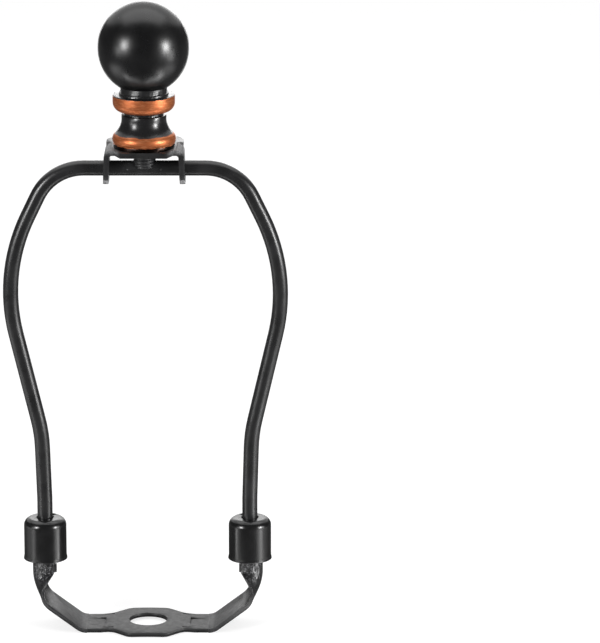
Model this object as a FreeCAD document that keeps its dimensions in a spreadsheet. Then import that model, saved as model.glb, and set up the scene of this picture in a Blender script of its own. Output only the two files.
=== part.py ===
import FreeCAD, Part
from collections import namedtuple
import math
import os
import re
import Sketcher

# Lamp harp: a bent wire bow that stands in the two channel posts of a sheet saddle.
# X runs from post to post, Y from front to back and Z up.
# The origin is on the floor, under the middle of the saddle's hole. All sizes are in mm and degrees.

os.makedirs("parts", exist_ok=True)
document = FreeCAD.newDocument("lamp_harp")

# Driving dimensions
DRIVING = [
    ("wire_diameter", 4.3, "bow wire"),
    ("wire_height", 133.7, "axis of the bow's top run"),
    ("wire_foot", 15.2, "lower end of the bow's legs"),
    ("shoulder_width", 51.8, "across the corners where the top run turns down"),
    ("shoulder_radius", 14.3, "bend at those corners"),
    ("bow_width", 81.0, "across the corners at the widest stretch"),
    ("bow_corner_height", 103.5, "height of those corners"),
    ("bow_radius", 51.0, "bend at the widest stretch"),
    ("knee_width", 59.16, "across the corners where the legs straighten"),
    ("knee_height", 57.0, "height of those corners"),
    ("knee_radius", 41.7, "bend at the knees"),
    ("leg_spacing", 58.0, "between the axes of the two legs"),
    ("leg_top", 37.7, "height up to which the legs are upright"),
    ("leg_bend_radius", 60.0, "slight bend above the sleeves"),
    ("tab_reach", 3.1, "pressed tab on the leg's end, inward from the leg's axis"),
    ("tab_thickness", 0.9, "thickness of the tab"),
    ("tab_height", 3.2, "height of the tab"),
    ("tab_slope", 0.9, "drop of the tab's slanted lower edge"),
    ("saddle_sheet", 1.2, "sheet of the saddle"),
    ("nipple_hole", 10.8, "hole for a lamp nipple"),
    ("crown_diameter", 29.8, "foot circle of the saddle's low crown"),
    ("crown_rise", 0.8, "rise of the crown at its middle"),
    ("boss_depth", 22.9, "front to back over the wide middle"),
    ("boss_flat", 10.8, "length of its front and back edges"),
    ("boss_root", 20.6, "length where it meets the strip"),
    ("boss_rounding", 3.0, "rounding of its corners"),
    ("boss_root_rounding", 4.0, "rounding where it meets the strip"),
    ("strip_width", 13.4, "flat strip beside the middle"),
    ("arm_width", 14.0, "strip from the bend up, measured flat"),
    ("bend_start", 17.2, "where the arms start to rise, from the middle"),
    ("bend_radius", 5.0, "lower face of that bend"),
    ("arm_angle", 37.0, "rise of the arms above the floor"),
    ("arm_radius", 12.4, "outer face where the arms turn upright"),
    ("channel_clearance", 0.3, "between a leg and the inside of its post"),
    ("curl_power", 2.3, "how late the flat arm curls into a channel"),
    ("lip_reach", 2.5, "post's lips, inward from the leg's axis"),
    ("recess_start", 12.1, "square inner end of the pressed recess, from the middle"),
    ("recess_width", 5.5, "pressed recess in the strip"),
    ("recess_depth", 0.45, "depth of the recess at its inner end"),
    ("line_start", 9.8, "inner end of the pressed lines beside the recess"),
    ("line_spacing", 11.8, "between the two lines"),
    ("line_width", 0.5, "width of a line"),
    ("line_depth", 0.25, "depth of a line"),
    ("sleeve_diameter", 12.0, "outside of a locking sleeve"),
    ("sleeve_rim", 12.4, "flared lower rim of a sleeve"),
    ("sleeve_rim_height", 1.1, "height of the flare"),
    ("sleeve_height", 12.0, "height of a sleeve"),
    ("sleeve_bottom", 20.3, "height of a sleeve's rim when it is down"),
    ("sleeve_wall", 0.5, "wall of a sleeve"),
    ("sleeve_shoulder", 2.2, "rounding of a sleeve's top"),
    ("sleeve_clearance", 0.3, "between a leg and the sleeve's hole"),
    ("sleeve_seat_gap", 0.2, "between a post's top and the sleeve"),
    ("slot_width", 1.2, "slot that lets the tab through the sleeve's hole"),
    ("slot_reach", 4.5, "end of the slot from the leg's axis"),
    ("slot_angle", 50.0, "slot's turn from inward to the back"),
    ("plate_thickness", 1.5, "sheet of the swivel bracket"),
    ("plate_gap", 2.45, "between the top run and the bracket's plate"),
    ("plate_width", 21.5, "width of the plate behind the ears"),
    ("plate_front", 8.9, "plate in front of the stud"),
    ("plate_rear", 12.9, "plate behind the stud"),
    ("plate_front_edge", 12.8, "length of the front edge between its cut corners"),
    ("plate_cheek", 16.0, "width where the cut corners end"),
    ("plate_rear_edge", 18.6, "length of the rear edge"),
    ("plate_rear_cut", 3.6, "depth of the rear corners"),
    ("plate_rounding", 1.4, "rounding of the plate's corners"),
    ("ear_span", 22.0, "over the ears at the top"),
    ("ear_width", 10.8, "front to back over an ear"),
    ("ear_splay", 2.3, "lean of the ears"),
    ("ear_drop", 4.2, "ear below the top run's axis"),
    ("ear_rounding", 4.0, "rounding of an ear's lower corners"),
    ("ear_bend_radius", 2.2, "outer face of the bend into an ear"),
    ("swivel_clearance", 0.07, "around the top run in the ears and the stud's foot"),
    ("stud_diameter", 6.35, "threaded stud"),
    ("stud_length", 10.4, "stud above the plate"),
    ("stud_foot_rise", 0.15, "stud's foot above the top run's axis"),
    ("stud_chamfer", 0.6, "chamfer at both ends of the stud"),
    ("thread_clearance", 0.05, "around the stud in the finial"),
    ("bore_end_gap", 1.0, "left above the stud in the finial"),
    ("foot_diameter", 17.1, "finial's foot"),
    ("foot_height", 1.1, "height of the foot"),
    ("band_diameter", 16.8, "lower band where it meets the foot"),
    ("band_radius", 2.1, "bulge of the lower band"),
    ("band_height", 2.9, "height of the lower band"),
    ("band_top_diameter", 16.1, "lower band where the cove starts"),
    ("cove_radius", 5.5, "hollow of the waist"),
    ("cove_height", 4.1, "height of the hollow"),
    ("waist_diameter", 12.5, "waist"),
    ("waist_land", 1.1, "straight stretch above the hollow"),
    ("groove_diameter", 11.0, "groove under the upper ring"),
    ("groove_height", 0.9, "height of the groove"),
    ("ring_diameter", 17.3, "upper ring"),
    ("ring_height", 4.7, "height of the upper ring"),
    ("ring_round", 2.6, "rounded lower edge of the upper ring"),
    ("ring_edge", 0.3, "rounding of its upper edge"),
    ("bead_diameter", 13.8, "bead under the neck"),
    ("bead_height", 0.6, "height of the bead"),
    ("neck_diameter", 12.9, "neck under the ball"),
    ("neck_height", 1.6, "height of the neck"),
    ("spigot_diameter", 5.0, "spigot that carries the ball"),
    ("spigot_height", 5.0, "height of the spigot"),
    ("ball_diameter", 25.2, "ball"),
    ("ball_belt", 0.6, "straight stretch around the ball's middle"),
    ("ball_flat", 13.4, "flat under the ball"),
    ("socket_end_gap", 0.4, "left above the spigot in the ball"),
]
NAMES = {name for name, value, meaning in DRIVING}
sizes = document.addObject("Spreadsheet::Sheet", "sizes")
for row, (name, value, meaning) in enumerate(DRIVING, start=1):
    sizes.set(f"A{row}", name)
    sizes.set(f"B{row}", str(value))
    sizes.set(f"C{row}", meaning)
    sizes.setAlias(f"B{row}", name)
document.recompute()


# Expressions in the words of the sheet
def bound(expression):
    """The expression with every size named in its sheet."""
    def name_in_sheet(word):
        return "sizes." + word.group() if word.group() in NAMES else word.group()
    return re.sub(r"[a-z]\w*", name_in_sheet, str(expression))


def number(expression):
    """The present value of an expression."""
    result = sizes.evalExpression(bound(expression))
    return float(getattr(result, "Value", result))


# A corner of an outline. With a rounding, a tangent arc takes the corner's place.
# With an arc, the edge that leaves the corner is an arc of that radius, and its centre lies
# to the left of the way along it, or to the right where side is -1.
Corner = namedtuple("Corner", "x y rounding arc side", defaults=(None, None, 1))


def mirrored(corners):
    """The corners of a right half, followed by the same corners on the left."""
    left = []
    for index in range(len(corners) - 1, -1, -1):
        corner = corners[index]
        before = corners[index - 1] if index else None
        arc = before.arc if before else None
        side = before.side if before else 1
        left.append(Corner(f"-({corner.x})", corner.y, corner.rounding, arc, side))
    return corners + left


def arc_between(start, end, radius, side):
    """The short arc from start to end, and whether it runs counter-clockwise."""
    chord = end - start
    half = chord.Length / 2
    to_left = FreeCAD.Vector(-chord.y, chord.x, 0).normalize()
    centre = (start + end) * 0.5 + to_left * side * math.sqrt(max(radius ** 2 - half ** 2, 0))
    angles = [math.atan2(point.y - centre.y, point.x - centre.x) for point in (start, end)]
    if side < 0:
        angles.reverse()
    circle = Part.Circle(centre, FreeCAD.Vector(0, 0, 1), radius)
    return Part.ArcOfCircle(circle, angles[0], angles[1]), side > 0


def tangent_points(before, corner, after, radius):
    """Where a rounding starts and ends, and the side that its centre is on."""
    to_before = (before - corner).normalize()
    to_after = (after - corner).normalize()
    reach = radius / math.tan(to_before.getAngle(to_after) / 2)
    turn = (to_before * -1).cross(to_after).z
    return corner + to_before * reach, corner + to_after * reach, 1 if turn > 0 else -1


def draw(sketch, corners, closed=True):
    """Draws an outline of lines and arcs, and ties it to the sheet."""
    points = [FreeCAD.Vector(number(corner.x), number(corner.y), 0) for corner in corners]
    count = len(corners)
    geometry = []
    constraints = []
    expressions = []
    arrive, leave = {}, {}
    first = sketch.GeometryCount

    def keep(constraint, expression=None):
        if expression is not None:
            expressions.append((len(constraints), expression))
        constraints.append(constraint)

    def put(shape, counter_clockwise=True):
        geometry.append(shape)
        ends = (1, 2) if counter_clockwise else (2, 1)
        return first + len(geometry) - 1, ends

    def anchor(index, where, corner):
        for kind, expression in (("DistanceX", corner.x), ("DistanceY", corner.y)):
            keep(Sketcher.Constraint(kind, -1, 1, index, where, number(expression)), expression)

    starts, stops, roundings = list(points), list(points), {}
    for i, corner in enumerate(corners):
        if corner.rounding is not None:
            radius = number(corner.rounding)
            before, after = points[i - 1], points[(i + 1) % count]
            stops[i], starts[i], side = tangent_points(before, points[i], after, radius)
            shape, turns_left = arc_between(stops[i], starts[i], radius, side)
            roundings[i] = put(shape, turns_left)
            keep(Sketcher.Constraint("Radius", roundings[i][0], radius), corner.rounding)

    edges = range(count if closed else count - 1)
    for i in edges:
        j = (i + 1) % count
        if corners[i].arc is None:
            index, ends = put(Part.LineSegment(starts[i], stops[j]))
        else:
            radius = number(corners[i].arc)
            shape, turns_left = arc_between(starts[i], stops[j], radius, corners[i].side)
            index, ends = put(shape, turns_left)
            keep(Sketcher.Constraint("Radius", index, radius), corners[i].arc)
        leave[i] = (index, ends[0])
        arrive[j] = (index, ends[1])

    for i, corner in enumerate(corners):
        if i in roundings:
            index, ends = roundings[i]
            keep(Sketcher.Constraint("Tangent", *arrive[i], index, ends[0]))
            keep(Sketcher.Constraint("Tangent", index, ends[1], *leave[i]))
            geometry.append(Part.Point(points[i]))
            marker = first + len(geometry) - 1
            anchor(marker, 1, corner)
            keep(Sketcher.Constraint("PointOnObject", marker, 1, arrive[i][0]))
            keep(Sketcher.Constraint("PointOnObject", marker, 1, leave[i][0]))
        else:
            ends = [place[i] for place in (arrive, leave) if i in place]
            if len(ends) == 2:
                keep(Sketcher.Constraint("Coincident", *ends[0], *ends[1]))
            anchor(*ends[0], corner)

    sketch.addGeometry(geometry, False)
    for i, shape in enumerate(geometry):
        if isinstance(shape, Part.Point):
            sketch.setConstruction(first + i, True)
    offset = sketch.ConstraintCount
    sketch.addConstraint(constraints)
    for index, expression in expressions:
        sketch.setExpression(f"Constraints[{offset + index}]", bound(expression))


def circle(sketch, x, y, diameter):
    """Draws a circle tied to the sheet."""
    centre = FreeCAD.Vector(number(x), number(y), 0)
    radius = number(diameter) / 2
    index = sketch.addGeometry(Part.Circle(centre, FreeCAD.Vector(0, 0, 1), radius))
    for kind, value in (("DistanceX", x), ("DistanceY", y)):
        place = sketch.addConstraint(Sketcher.Constraint(kind, -1, 1, index, 3, number(value)))
        sketch.setExpression(f"Constraints[{place}]", bound(value))
    place = sketch.addConstraint(Sketcher.Constraint("Radius", index, radius))
    sketch.setExpression(f"Constraints[{place}]", bound(f"({diameter}) / 2"))


# Bodies, sketches and features
def new_body(label, x=0, z=0):
    """A sub-part, with its own origin at x and z."""
    body = document.addObject("PartDesign::Body", label)
    body.Label = label
    body.setExpression("Placement.Base.x", bound(x))
    body.setExpression("Placement.Base.z", bound(z))
    return body


def origin_plane(body, role):
    """One of the body's own origin planes."""
    return next(item for item in body.Origin.OriginFeatures if item.Role == role)


def new_sketch(body, name, role, **offsets):
    """A sketch on an origin plane of its body, moved along the plane's own axes."""
    sketch = body.newObject("Sketcher::SketchObject", name)
    sketch.AttachmentSupport = [(origin_plane(body, role), "")]
    sketch.MapMode = "FlatFace"
    for axis, expression in offsets.items():
        sketch.setExpression(f"AttachmentOffset.Base.{axis}", bound(expression))
    return sketch


def turn_sketch(sketch, axis, angle):
    """Turns a sketch about one of its plane's axes."""
    start = FreeCAD.Placement(FreeCAD.Vector(), FreeCAD.Rotation(axis, number(angle)))
    sketch.AttachmentOffset = start
    sketch.setExpression("AttachmentOffset.Rotation.Angle", bound(angle))


def add(body, kind, name, profile, length=None, **properties):
    """A feature of a body, from a sketch."""
    feature = body.newObject(f"PartDesign::{kind}", name)
    feature.Profile = profile
    for key, value in properties.items():
        setattr(feature, key, value)
    if length is not None:
        feature.setExpression("Length", bound(length))
    document.recompute()
    return feature


def revolve(body, name, corners):
    """A full turn of an outline about the body's Z axis."""
    sketch = new_sketch(body, name + "_outline", "XZ_Plane")
    draw(sketch, corners)
    return add(body, "Revolution", name, sketch, ReferenceAxis=(sketch, ["V_Axis"]), Angle=360)


def mirror(body, name, originals):
    """The same features on the other side of the body's YZ plane."""
    feature = body.newObject("PartDesign::Mirrored", name)
    feature.Originals = originals
    feature.MirrorPlane = (origin_plane(body, "YZ_Plane"), [""])
    body.Tip = feature
    document.recompute()
    return feature


# Heights and places that several pieces share
LEG_X = "leg_spacing / 2"
POST_TOP = "sleeve_bottom + sleeve_height - sleeve_wall - sleeve_seat_gap"
CHANNEL_INNER = "(wire_diameter / 2 + channel_clearance)"
CHANNEL_MIDDLE = f"({CHANNEL_INNER} + saddle_sheet / 2)"
POST_BACK = f"({LEG_X} + {CHANNEL_INNER} + saddle_sheet)"
PLATE_BOTTOM = "(wire_diameter / 2 + plate_gap)"
PLATE_TOP = f"({PLATE_BOTTOM} + plate_thickness)"
SEAT_HEIGHT = f"wire_height + {PLATE_TOP}"
CROWN_RADIUS = "(((crown_diameter / 2)^2 + crown_rise^2) / (2 * crown_rise))"
NECK_TOP = ("(foot_height + band_height + cove_height + waist_land + groove_height"
            " + ring_height + bead_height + neck_height)")


# Saddle: flat crowned middle, two rising arms and two channel posts
def crown_at(x, y):
    """Rise of the crown at a place on it."""
    return f"(sqrt({CROWN_RADIUS}^2 - ({x})^2 - ({y})^2) - {CROWN_RADIUS} + crown_rise)"


def crowned_plate(body):
    """The saddle's middle: a disc with a low crown, trimmed to the boss and the strip."""
    hole_rise = crown_at("nipple_hole / 2", "0")
    disc_radius = "sqrt(bend_start^2 + (strip_width / 2)^2) + 1"
    revolve(body, "crowned_disc", [
        Corner("nipple_hole / 2", hole_rise, arc=CROWN_RADIUS, side=-1),
        Corner("crown_diameter / 2", 0),
        Corner(disc_radius, 0),
        Corner(disc_radius, "saddle_sheet"),
        Corner("crown_diameter / 2", "saddle_sheet", arc=CROWN_RADIUS),
        Corner("nipple_hole / 2", f"saddle_sheet + {hole_rise}"),
    ])
    trim = new_sketch(body, "plan", "XY_Plane", z="saddle_sheet + crown_rise + 1")
    blank = f"{disc_radius} + 2"
    draw(trim, mirrored([Corner(blank, f"-({blank})"), Corner(blank, blank)]))
    draw(trim, mirrored([
        Corner("boss_flat / 2", "-boss_depth / 2", "boss_rounding"),
        Corner("boss_root / 2", "-strip_width / 2", "boss_root_rounding"),
        Corner("bend_start", "-strip_width / 2"),
        Corner("bend_start", "strip_width / 2"),
        Corner("boss_root / 2", "strip_width / 2", "boss_root_rounding"),
        Corner("boss_flat / 2", "boss_depth / 2", "boss_rounding"),
    ]))
    add(body, "Pocket", "plan_trim", trim, Type="ThroughAll")


def pressed_mark(body, name, start, y, width, depth):
    """A mark pressed into the strip, deepest at its inner end and fading out at the bend."""
    profile = new_sketch(body, name + "_profile", "XZ_Plane", z=f"-({y})")
    above = "saddle_sheet + crown_rise + 1"
    draw(profile, [
        Corner(start, f"saddle_sheet + {crown_at(start, y)} - {depth}"),
        Corner("bend_start", "saddle_sheet"),
        Corner("bend_start", above),
        Corner(start, above),
    ])
    return add(body, "Pocket", name, profile, width, SideType="Symmetric")


def pressed_marks(body):
    """The recess in the strip and the line on each side of it."""
    return [
        pressed_mark(body, "recess", "recess_start", "0", "recess_width", "recess_depth"),
        pressed_mark(body, "front_line", "line_start", "-line_spacing / 2", "line_width", "line_depth"),
        pressed_mark(body, "rear_line", "line_start", "line_spacing / 2", "line_width", "line_depth"),
    ]


def rising_arm(body, slope_x, slope_z):
    """The bend and the straight stretch of an arm, up to where it turns upright."""
    upper_bend = "(bend_radius - saddle_sheet)"
    profile = new_sketch(body, "arm_profile", "XZ_Plane")
    draw(profile, [
        Corner("bend_start", 0, arc="bend_radius"),
        Corner("bend_start + bend_radius * sin(arm_angle)", "bend_radius * (1 - cos(arm_angle))"),
        Corner(slope_x, slope_z),
        Corner(f"{slope_x} - saddle_sheet * sin(arm_angle)", f"{slope_z} + saddle_sheet * cos(arm_angle)"),
        Corner(f"bend_start + {upper_bend} * sin(arm_angle)", f"bend_radius - {upper_bend} * cos(arm_angle)",
               arc=upper_bend, side=-1),
        Corner("bend_start", "saddle_sheet"),
    ])
    return add(body, "Pad", "arm", profile, "arm_width", SideType="Symmetric")


def channel_section(share):
    """The arm's cross-section at a share of its curl, with its back at the sketch's origin."""
    flat_lip = f"((arm_width - pi * {CHANNEL_MIDDLE}) / 2)"
    lip = f"({flat_lip} + (lip_reach - {flat_lip}) * {share})"
    if share == "0":
        half = f"(pi * {CHANNEL_MIDDLE} / 2)"
        side = [(half, "0"), (f"{half} + {lip}", "0"), (f"{half} + {lip}", "saddle_sheet"), (half, "saddle_sheet")]
        outer = inner = None
    else:
        curl = f"(90 * ({share})^curl_power)"
        middle = f"({CHANNEL_MIDDLE} * 90 / {curl})"
        outer = f"({middle} + saddle_sheet / 2)"
        inner = f"({middle} - saddle_sheet / 2)"
        side = []
        for radius, reach in ((outer, "0"), (outer, lip), (inner, lip), (inner, "0")):
            side.append((f"{radius} * sin({curl}) + {reach} * cos({curl})",
                         f"{outer} - {radius} * cos({curl}) + {reach} * sin({curl})"))
    right = [Corner(*side[0]), Corner(*side[1]), Corner(*side[2]), Corner(*side[3], None, inner, -1)]
    left = [Corner(f"-({x})", y) for x, y in reversed(side)]
    left[-1] = left[-1]._replace(arc=outer)
    return ([Corner("0", "0", None, outer)] + right
            + [Corner("0", "saddle_sheet", None, inner, -1)] + left)


def channel_post(body):
    """The arm's upper end: it turns upright while its edges curl in to hold the leg."""
    centre_x = f"({POST_BACK} - arm_radius)"
    bend_x = "(bend_start + bend_radius * tan(arm_angle / 2))"
    slope_x = f"({centre_x} + arm_radius * sin(arm_angle))"
    slope_z = f"(({slope_x} - {bend_x}) * tan(arm_angle))"
    centre_z = f"({slope_z} + arm_radius * cos(arm_angle))"
    arm = rising_arm(body, slope_x, slope_z)
    steps = 6
    sections = []
    for step in range(steps + 1):
        share = f"({step} / {steps})" if step else "0"
        lean = f"(arm_angle + (90 - arm_angle) * {share})"
        section = new_sketch(body, f"channel_section_{step}", "YZ_Plane")
        turn_sketch(section, FreeCAD.Vector(1, 0, 0), f"-{lean}")
        section.setExpression("AttachmentOffset.Base.y", bound(f"{centre_z} - arm_radius * cos({lean})"))
        section.setExpression("AttachmentOffset.Base.z", bound(f"{centre_x} + arm_radius * sin({lean})"))
        draw(section, channel_section(share))
        sections.append(section)
    document.recompute()
    curl_loft = add(body, "AdditiveLoft", "curl", sections[0], Sections=sections[1:])
    post = add(body, "Pad", "post", sections[-1], f"{POST_TOP} - {centre_z}")
    return [arm, curl_loft, post]


def make_saddle():
    body = new_body("base_saddle")
    crowned_plate(body)
    mirror(body, "other_side", pressed_marks(body) + channel_post(body))
    return body


# Bow wire
def make_wire():
    body = new_body("harp_wire")
    path = new_sketch(body, "bow_path", "XZ_Plane")
    draw(path, [
        Corner(0, "wire_height"),
        Corner("shoulder_width / 2", "wire_height", "shoulder_radius"),
        Corner("bow_width / 2", "bow_corner_height", "bow_radius"),
        Corner("knee_width / 2", "knee_height", "knee_radius"),
        Corner(LEG_X, "leg_top", "leg_bend_radius"),
        Corner(LEG_X, "wire_foot"),
    ], closed=False)
    section = new_sketch(body, "wire_section", "YZ_Plane")
    circle(section, "0", "wire_height", "wire_diameter")
    document.recompute()
    bow = add(body, "AdditivePipe", "bow", section, Spine=path)
    outline = new_sketch(body, "tab_outline", "XZ_Plane")
    draw(outline, [
        Corner(LEG_X, "wire_foot"),
        Corner(LEG_X, "wire_foot + tab_height"),
        Corner(f"{LEG_X} - tab_reach", "wire_foot + tab_height"),
        Corner(f"{LEG_X} - tab_reach", "wire_foot + tab_slope"),
    ])
    tab = add(body, "Pad", "tab", outline, "tab_thickness", SideType="Symmetric")
    mirror(body, "other_half", [bow, tab])
    return body


# Locking sleeves
def make_sleeve(label, side, slot_turn):
    """A drawn cap that slides on a leg and drops over the post."""
    body = new_body(label, f"{side} * {LEG_X}", "sleeve_bottom")
    hole = "(wire_diameter / 2 + sleeve_clearance)"
    inner = "(sleeve_diameter / 2 - sleeve_wall)"
    revolve(body, "cap", [
        Corner(f"{inner} + (sleeve_rim - sleeve_diameter) / 2", 0),
        Corner("sleeve_rim / 2", 0),
        Corner("sleeve_diameter / 2", "sleeve_rim_height"),
        Corner("sleeve_diameter / 2", "sleeve_height", "sleeve_shoulder"),
        Corner(hole, "sleeve_height"),
        Corner(hole, "sleeve_height - sleeve_wall"),
        Corner(inner, "sleeve_height - sleeve_wall", "sleeve_shoulder - sleeve_wall"),
        Corner(inner, "sleeve_rim_height"),
    ])
    slot = new_sketch(body, "slot_outline", "XY_Plane")
    turn_sketch(slot, FreeCAD.Vector(0, 0, 1), slot_turn)
    slot.setExpression("AttachmentOffset.Base.z", bound("sleeve_height + 1"))
    draw(slot, [
        Corner(0, "-slot_width / 2"),
        Corner("slot_reach", "-slot_width / 2"),
        Corner("slot_reach", "slot_width / 2"),
        Corner(0, "slot_width / 2"),
    ])
    add(body, "Pocket", "slot", slot, "1 + sleeve_shoulder")
    return body


# Swivel bracket, with its origin on the top run's axis
def make_bracket():
    body = new_body("top_bracket", z="wire_height")
    bend_line = "(ear_span / 2 - ear_bend_radius)"
    plan = new_sketch(body, "plate_outline", "XY_Plane", z=PLATE_BOTTOM)
    draw(plan, mirrored([
        Corner("plate_front_edge / 2", "-plate_front"),
        Corner("plate_cheek / 2", "-ear_width / 2"),
        Corner(bend_line, "-ear_width / 2"),
        Corner(bend_line, "ear_width / 2"),
        Corner("plate_width / 2", "ear_width / 2"),
        Corner("plate_width / 2", "plate_rear - plate_rear_cut", "plate_rounding"),
        Corner("plate_rear_edge / 2", "plate_rear", "plate_rounding"),
    ]))
    add(body, "Pad", "plate", plan, "plate_thickness")
    lean_out = f"(({PLATE_TOP} + ear_drop) * tan(ear_splay))"
    inner_top = ("(ear_span / 2 - plate_thickness * cos(ear_splay)"
                 " + plate_thickness * tan(ear_splay) * (1 - sin(ear_splay)))")
    inner_foot = f"(ear_span / 2 + {lean_out} - plate_thickness / cos(ear_splay))"
    profile = new_sketch(body, "ear_profile", "XZ_Plane")
    draw(profile, [
        Corner(f"{bend_line} - plate_thickness", PLATE_TOP),
        Corner(f"{bend_line} - plate_thickness", PLATE_BOTTOM),
        Corner(inner_top, PLATE_BOTTOM, "ear_bend_radius - plate_thickness"),
        Corner(inner_foot, "-ear_drop"),
        Corner(f"ear_span / 2 + {lean_out}", "-ear_drop"),
        Corner("ear_span / 2", PLATE_TOP, "ear_bend_radius"),
    ])
    ear = add(body, "Pad", "ear", profile, "ear_width", SideType="Symmetric")
    mirror(body, "other_ear", [ear])
    for name, side, bend in (("front", "-1", 1), ("rear", "1", -1)):
        edge = f"{side} * ear_width / 2"
        corner = new_sketch(body, f"{name}_ear_corner", "YZ_Plane")
        draw(corner, [
            Corner(edge, "-ear_drop"),
            Corner(edge, "ear_rounding - ear_drop", arc="ear_rounding", side=bend),
            Corner(f"{side} * (ear_width / 2 - ear_rounding)", "-ear_drop"),
        ])
        add(body, "Pocket", f"{name}_ear_rounding", corner, "2 * ear_span", SideType="Symmetric")
    pivot = new_sketch(body, "pivot_holes", "YZ_Plane")
    circle(pivot, "0", "0", "wire_diameter + 2 * swivel_clearance")
    add(body, "Pocket", "pivot", pivot, "2 * ear_span", SideType="Symmetric")
    hole = new_sketch(body, "stud_hole", "XY_Plane", z=f"{PLATE_TOP} + 1")
    circle(hole, "0", "0", "stud_diameter")
    add(body, "Pocket", "stud_seat", hole, "plate_thickness + 2")
    return body


# Stud, fixed in the plate, with a grooved foot astride the top run
def make_stud():
    body = new_body("threaded_stud", z="wire_height")
    radius = "stud_diameter / 2"
    top = f"{PLATE_TOP} + stud_length"
    revolve(body, "shank", [
        Corner(0, "stud_foot_rise"),
        Corner(f"{radius} - stud_chamfer", "stud_foot_rise"),
        Corner(radius, "stud_foot_rise + stud_chamfer"),
        Corner(radius, f"{top} - stud_chamfer"),
        Corner(f"{radius} - stud_chamfer", top),
        Corner(0, top),
    ])
    groove = new_sketch(body, "groove_section", "YZ_Plane")
    circle(groove, "0", "0", "wire_diameter + 2 * swivel_clearance")
    add(body, "Pocket", "groove", groove, "2 * stud_diameter", SideType="Symmetric")
    return body


# Finial: a turned base that screws on the stud, and a ball on its spigot
def make_finial_base():
    body = new_body("finial_base", z=SEAT_HEIGHT)
    bore = "(stud_diameter / 2 + thread_clearance)"
    levels = ["foot_height"]
    for height in ("band_height", "cove_height", "waist_land", "groove_height",
                   "ring_height", "bead_height", "neck_height", "spigot_height"):
        levels.append(f"{levels[-1]} + {height}")
    foot, band, cove, land, groove, ring, bead, neck, spigot = levels
    revolve(body, "turned_base", [
        Corner(bore, 0),
        Corner("foot_diameter / 2", 0),
        Corner("foot_diameter / 2", foot),
        Corner("band_diameter / 2", foot, arc="band_radius"),
        Corner("band_top_diameter / 2", band, arc="cove_radius", side=-1),
        Corner("waist_diameter / 2", cove),
        Corner("waist_diameter / 2", land),
        Corner("groove_diameter / 2", land),
        Corner("groove_diameter / 2", groove),
        Corner("ring_diameter / 2", groove, "ring_round"),
        Corner("ring_diameter / 2", ring, "ring_edge"),
        Corner("bead_diameter / 2", ring),
        Corner("bead_diameter / 2", bead),
        Corner("neck_diameter / 2", bead),
        Corner("neck_diameter / 2", neck),
        Corner("spigot_diameter / 2", neck),
        Corner("spigot_diameter / 2", spigot),
        Corner(0, spigot),
        Corner(0, "stud_length + bore_end_gap"),
        Corner(bore, "stud_length + bore_end_gap"),
    ])
    return body


def make_ball():
    body = new_body("finial_ball", z=f"{SEAT_HEIGHT} + {NECK_TOP}")
    belt = "sqrt((ball_diameter / 2)^2 - (ball_flat / 2)^2)"
    socket = "spigot_height + socket_end_gap"
    revolve(body, "ball", [
        Corner("spigot_diameter / 2", 0),
        Corner("ball_flat / 2", 0, arc="ball_diameter / 2"),
        Corner("ball_diameter / 2", belt),
        Corner("ball_diameter / 2", f"{belt} + ball_belt", arc="ball_diameter / 2"),
        Corner(0, f"{belt} + ball_belt + ball_diameter / 2"),
        Corner(0, socket),
        Corner("spigot_diameter / 2", socket),
    ])
    return body


pieces = [
    make_saddle(),
    make_wire(),
    make_sleeve("left_sleeve", -1, "slot_angle"),
    make_sleeve("right_sleeve", 1, "180 - slot_angle"),
    make_bracket(),
    make_stud(),
    make_finial_base(),
    make_ball(),
]
document.recompute()

for item in document.Objects:
    if "Invalid" in item.State or "Error" in item.State:
        raise RuntimeError(f"{item.Label} failed: {item.State}")
for piece in pieces:
    if piece.Shape.isNull() or not piece.Shape.isValid():
        raise RuntimeError(f"{piece.Label} has no valid shape")
    if len(piece.Shape.Solids) != 1:
        raise RuntimeError(f"{piece.Label} is {len(piece.Shape.Solids)} solids")

for piece in pieces:
    piece.Shape.exportStep(f"parts/{piece.Label}.step")
    box = piece.Shape.BoundBox
    print(f"{piece.Label:14} volume {piece.Shape.Volume:9.1f} mm3"
          f"  x {box.XMin:7.2f} {box.XMax:7.2f}  y {box.YMin:7.2f} {box.YMax:7.2f}"
          f"  z {box.ZMin:7.2f} {box.ZMax:7.2f}")
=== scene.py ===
# %% [markdown]
# # A black lamp harp with a ball finial
# A lamp harp is the wire bow that carries a lampshade over a bulb. It stands in the two
# posts of a sheet-metal saddle, two sleeves lock it there, and a small bracket on its top
# run has a stud, on which a finial holds the shade down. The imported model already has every
# solid at its real size, in metres, with the floor at zero height. This script softens the
# edges of those solids, cuts the stud's thread, adds two pips to the wire, gives every
# piece its finish, and sets up the camera, the floor, the cards and the lamps.

# %% Load the frame
import math

import bmesh
import bpy
from mathutils import Euler, Matrix, Vector


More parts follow.
